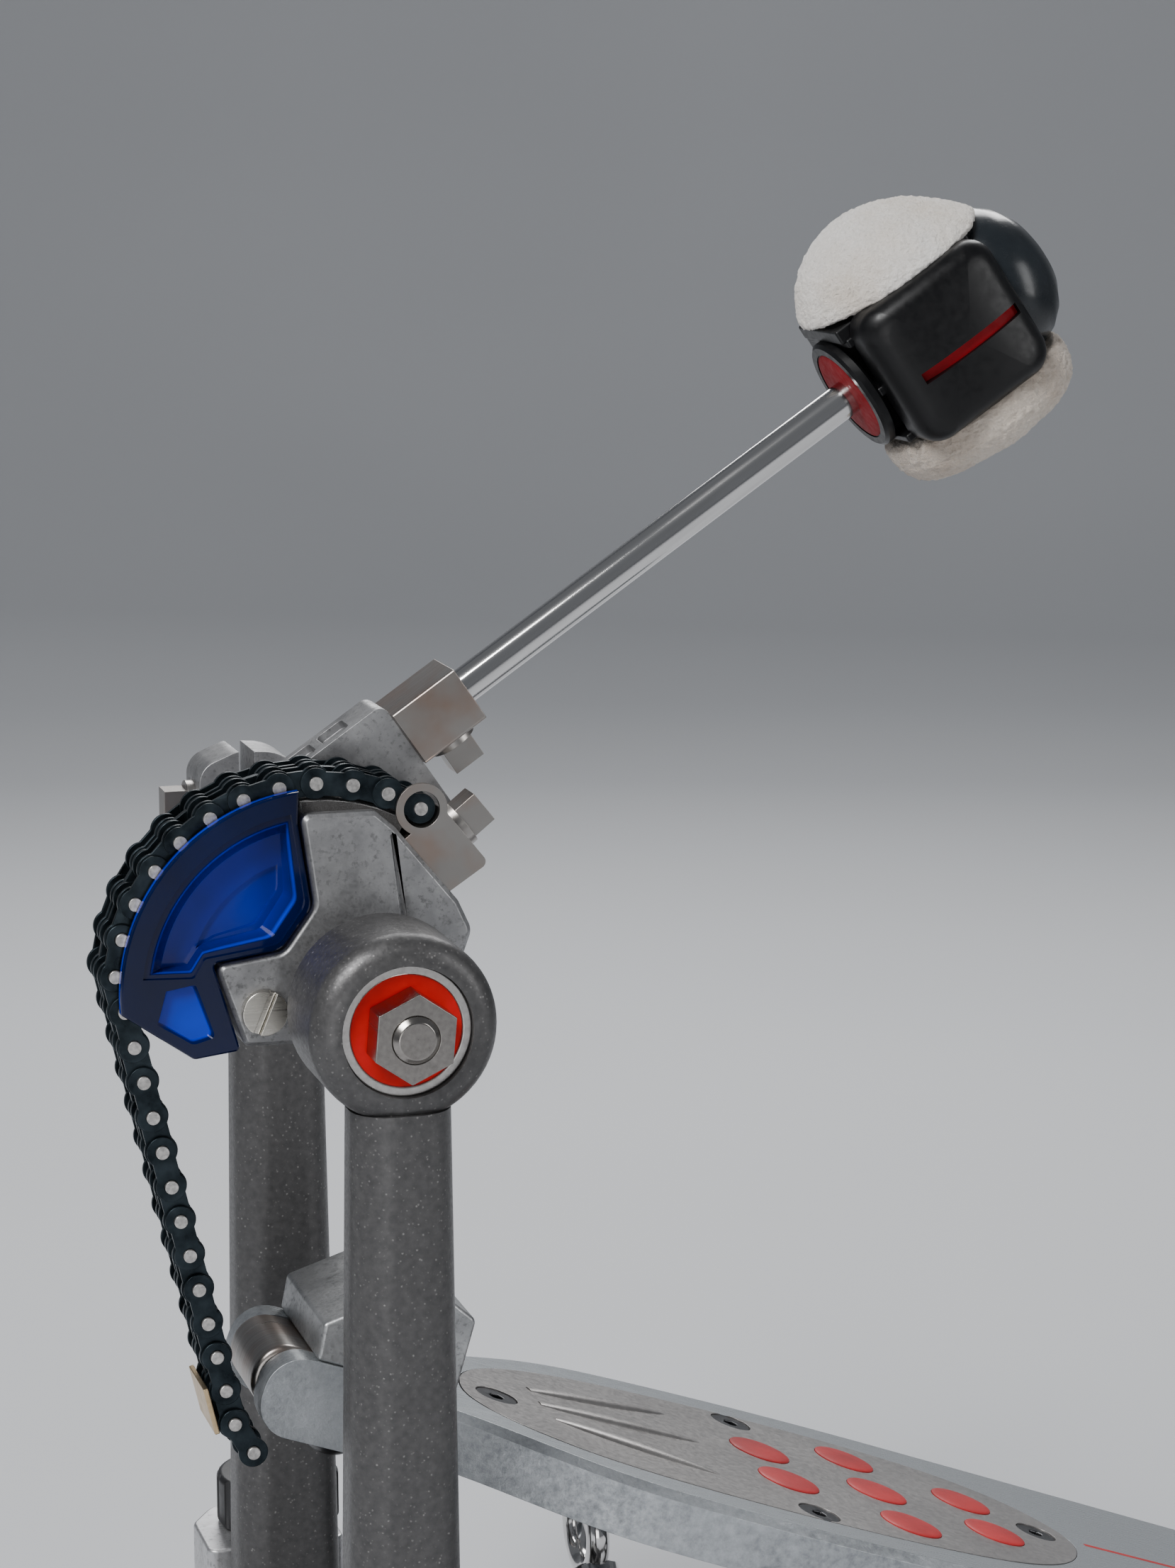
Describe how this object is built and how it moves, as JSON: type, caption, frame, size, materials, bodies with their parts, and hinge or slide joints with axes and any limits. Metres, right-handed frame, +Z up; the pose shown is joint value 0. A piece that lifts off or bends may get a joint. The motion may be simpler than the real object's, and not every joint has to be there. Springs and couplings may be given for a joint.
{
  "type": "bass drum pedal",
  "caption": "Single bass drum pedal: footboard pulls a duplex chain over a cam, swinging a felt beater on a sprung rocker axle between two posts; clamps to the drum hoop.",
  "frame": {"origin": "on the floor below the middle of the rocker axle, between the two posts", "axes": "+X towards the player's heel, -X towards the drum, +Z up, rocker axle along Y with the near side at -Y"},
  "size_m": [0.35, 0.1439, 0.3232],
  "materials": {
    "frame_black": "satin black powder coat",
    "floor_rubber": "matt moulded rubber",
    "speckled_cast": "dark speckled texture paint",
    "bearing_steel": "ground steel",
    "shield_red": "red rubber seal",
    "black_screws": "black oxide",
    "axle_steel": "zinc plated",
    "cast_alloy": "raw tumbled casting",
    "cam_blue": "translucent blue",
    "bright_screw": "bright plated",
    "felt_black": "thin felt",
    "chain_black": "black oxide with bright pin ends",
    "clip_brass": "plain brass",
    "plated_steel": "zinc plated",
    "spring_steel": "drawn wire",
    "satin_silver": "satin",
    "nut_black": "knurled black",
    "shaft_chrome": "polished",
    "beater_grey": "dark grey moulded",
    "beater_black": "black moulded",
    "inlay_red": "dark red",
    "felt_white": "dense white felt",
    "board_alloy": "rough cast with a brushed rim",
    "insert_grey": "satin grey",
    "dot_red": "matt red",
    "stop_alloy": "raw casting"
  },
  "bodies": {
    "frame": {"base_plate": "frame_black", "floor_pads": "floor_rubber", "near_post": "speckled_cast", "far_post": "speckled_cast", "bearing_outer_rings": "bearing_steel", "bearing_shields": "shield_red", "bearing_balls": "bearing_steel", "frame_screws": "black_screws", "heel_plate": "board_alloy", "hinge_pin": "axle_steel", "spring_bracket": "satin_silver", "spring_rod": "plated_steel", "hoop_pad": "floor_rubber", "jaw_pin": "axle_steel"},
    "axle": {"axle_shaft": "axle_steel", "axle_nuts": "axle_steel", "bearing_inner_rings": "bearing_steel", "cam_hub": "cast_alloy", "cam_insert": "cam_blue", "cam_screw": "bright_screw", "cam_felt": "felt_black", "chain_clamp": "plated_steel", "key_bolts": "plated_steel", "cam_chain": "chain_black", "beater_holder": "cast_alloy", "shaft_clamp": "plated_steel", "rocker_collar": "cast_alloy", "rocker_pin": "plated_steel"},
    "shaft": {"beater_shaft": "shaft_chrome"},
    "head": {"beater_core": "beater_grey", "beater_side_pads": "beater_black", "beater_inlays": "inlay_red", "beater_front_felt": "felt_white", "beater_rear_felt": "felt_white", "beater_end_cap": "beater_grey", "beater_disc": "inlay_red"},
    "links": {"chain_link_1": "chain_black", "chain_link_2": "chain_black", "chain_link_3": "chain_black", "chain_link_4": "chain_black"},
    "drop": {"chain_drop": "chain_black"},
    "tail": {"chain_tail": "chain_black", "chain_clip": "clip_brass"},
    "board": {"footboard": "board_alloy", "board_ribs": "board_alloy", "insert_plate": "insert_grey", "grip_dots": "dot_red", "insert_screws": "black_screws", "toe_yoke": "plated_steel", "toe_clamp_plate": "plated_steel", "yoke_screw": "black_screws", "toe_stop": "stop_alloy"},
    "hanger": {"spring": "spring_steel", "spring_hanger": "plated_steel"},
    "nuts": {"spring_nuts": "nut_black"},
    "jaw": {"hoop_jaw": "frame_black", "jaw_pad": "floor_rubber"},
    "screw": {"clamp_screw": "shaft_chrome"},
    "spur_near": {"near_spur": "plated_steel"},
    "spur_far": {"far_spur": "plated_steel"}
  },
  "joints": [
    {"name": "beater_swing", "type": "hinge", "parent": "frame", "child": "axle", "pos_m": [0, 0, 0.19], "axis": [0, -1, 0], "range_deg": [0, 57], "stiffness_Nm_per_rad": 0.35, "springref_deg": -28.65},
    {"name": "chain_unwrap", "type": "hinge", "parent": "axle", "child": "links", "pos_m": [-0.03036, -0.0125, 0.21665], "axis": [0, -1, 0], "range_deg": [-29.61, 0.05]},
    {"name": "chain_drop_swing", "type": "hinge", "parent": "links", "child": "drop", "pos_m": [-0.04171, -0.0125, 0.19453], "axis": [0, -1, 0], "range_deg": [-40.4, 0.05]},
    {"name": "chain_tail_swing", "type": "hinge", "parent": "drop", "child": "tail", "pos_m": [-0.02576, -0.0125, 0.12652], "axis": [0, -1, 0], "range_deg": [-0.05, 22.21]},
    {"name": "footboard_tilt", "type": "hinge", "parent": "frame", "child": "board", "pos_m": [0.232, 0, 0.027], "axis": [0, -1, 0], "range_deg": [-0.05, 9.3]},
    {"name": "spring_stretch", "type": "slide", "parent": "frame", "child": "hanger", "axis": [0.8268, 0, 0.5626], "range_m": [-0.0001, 0.02398], "deforming": ["spring"]},
    {"name": "shaft_slide", "type": "slide", "parent": "axle", "child": "shaft", "axis": [0.8251, 0, 0.565], "range_m": [-0.02, 0.012]},
    {"name": "head_turn", "type": "hinge", "parent": "shaft", "child": "head", "pos_m": [-0.01458, 0, 0.21129], "axis": [0.8251, 0, 0.565], "continuous": true},
    {"name": "spring_nut_turn", "type": "hinge", "parent": "frame", "child": "nuts", "pos_m": [0.0025, 0.065, 0.068], "axis": [0, 0, 1], "continuous": true},
    {"name": "clamp_screw_turn", "type": "hinge", "parent": "jaw", "child": "screw", "pos_m": [0.062, 0.0144, 0.0112], "axis": [0, 0.6198, 0.7848], "range_deg": [0, 1440]},
    {"name": "hoop_jaw_close", "type": "hinge", "parent": "frame", "child": "jaw", "pos_m": [-0.008, 0, 0.026], "axis": [0, -1, 0], "range_deg": [-0.01, 5.01]},
    {"name": "near_spur_lift", "type": "slide", "parent": "frame", "child": "spur_near", "axis": [0, 0, 1], "range_m": [0, 0.006]},
    {"name": "far_spur_lift", "type": "slide", "parent": "frame", "child": "spur_far", "axis": [0, 0, 1], "range_m": [0, 0.006]}
  ],
  "couplings": [
    {"joint": "chain_unwrap", "follows": "beater_swing", "ratio": -0.51851},
    {"joint": "chain_drop_swing", "follows": "beater_swing", "ratio": -0.70796},
    {"joint": "chain_tail_swing", "follows": "beater_swing", "ratio": 0.38871},
    {"joint": "footboard_tilt", "follows": "beater_swing", "ratio": 0.16224},
    {"joint": "spring_stretch", "follows": "beater_swing", "m_per_rad": 0.024006},
    {"joint": "hoop_jaw_close", "follows": "clamp_screw_turn", "ratio": 0.0034722}
  ]
}
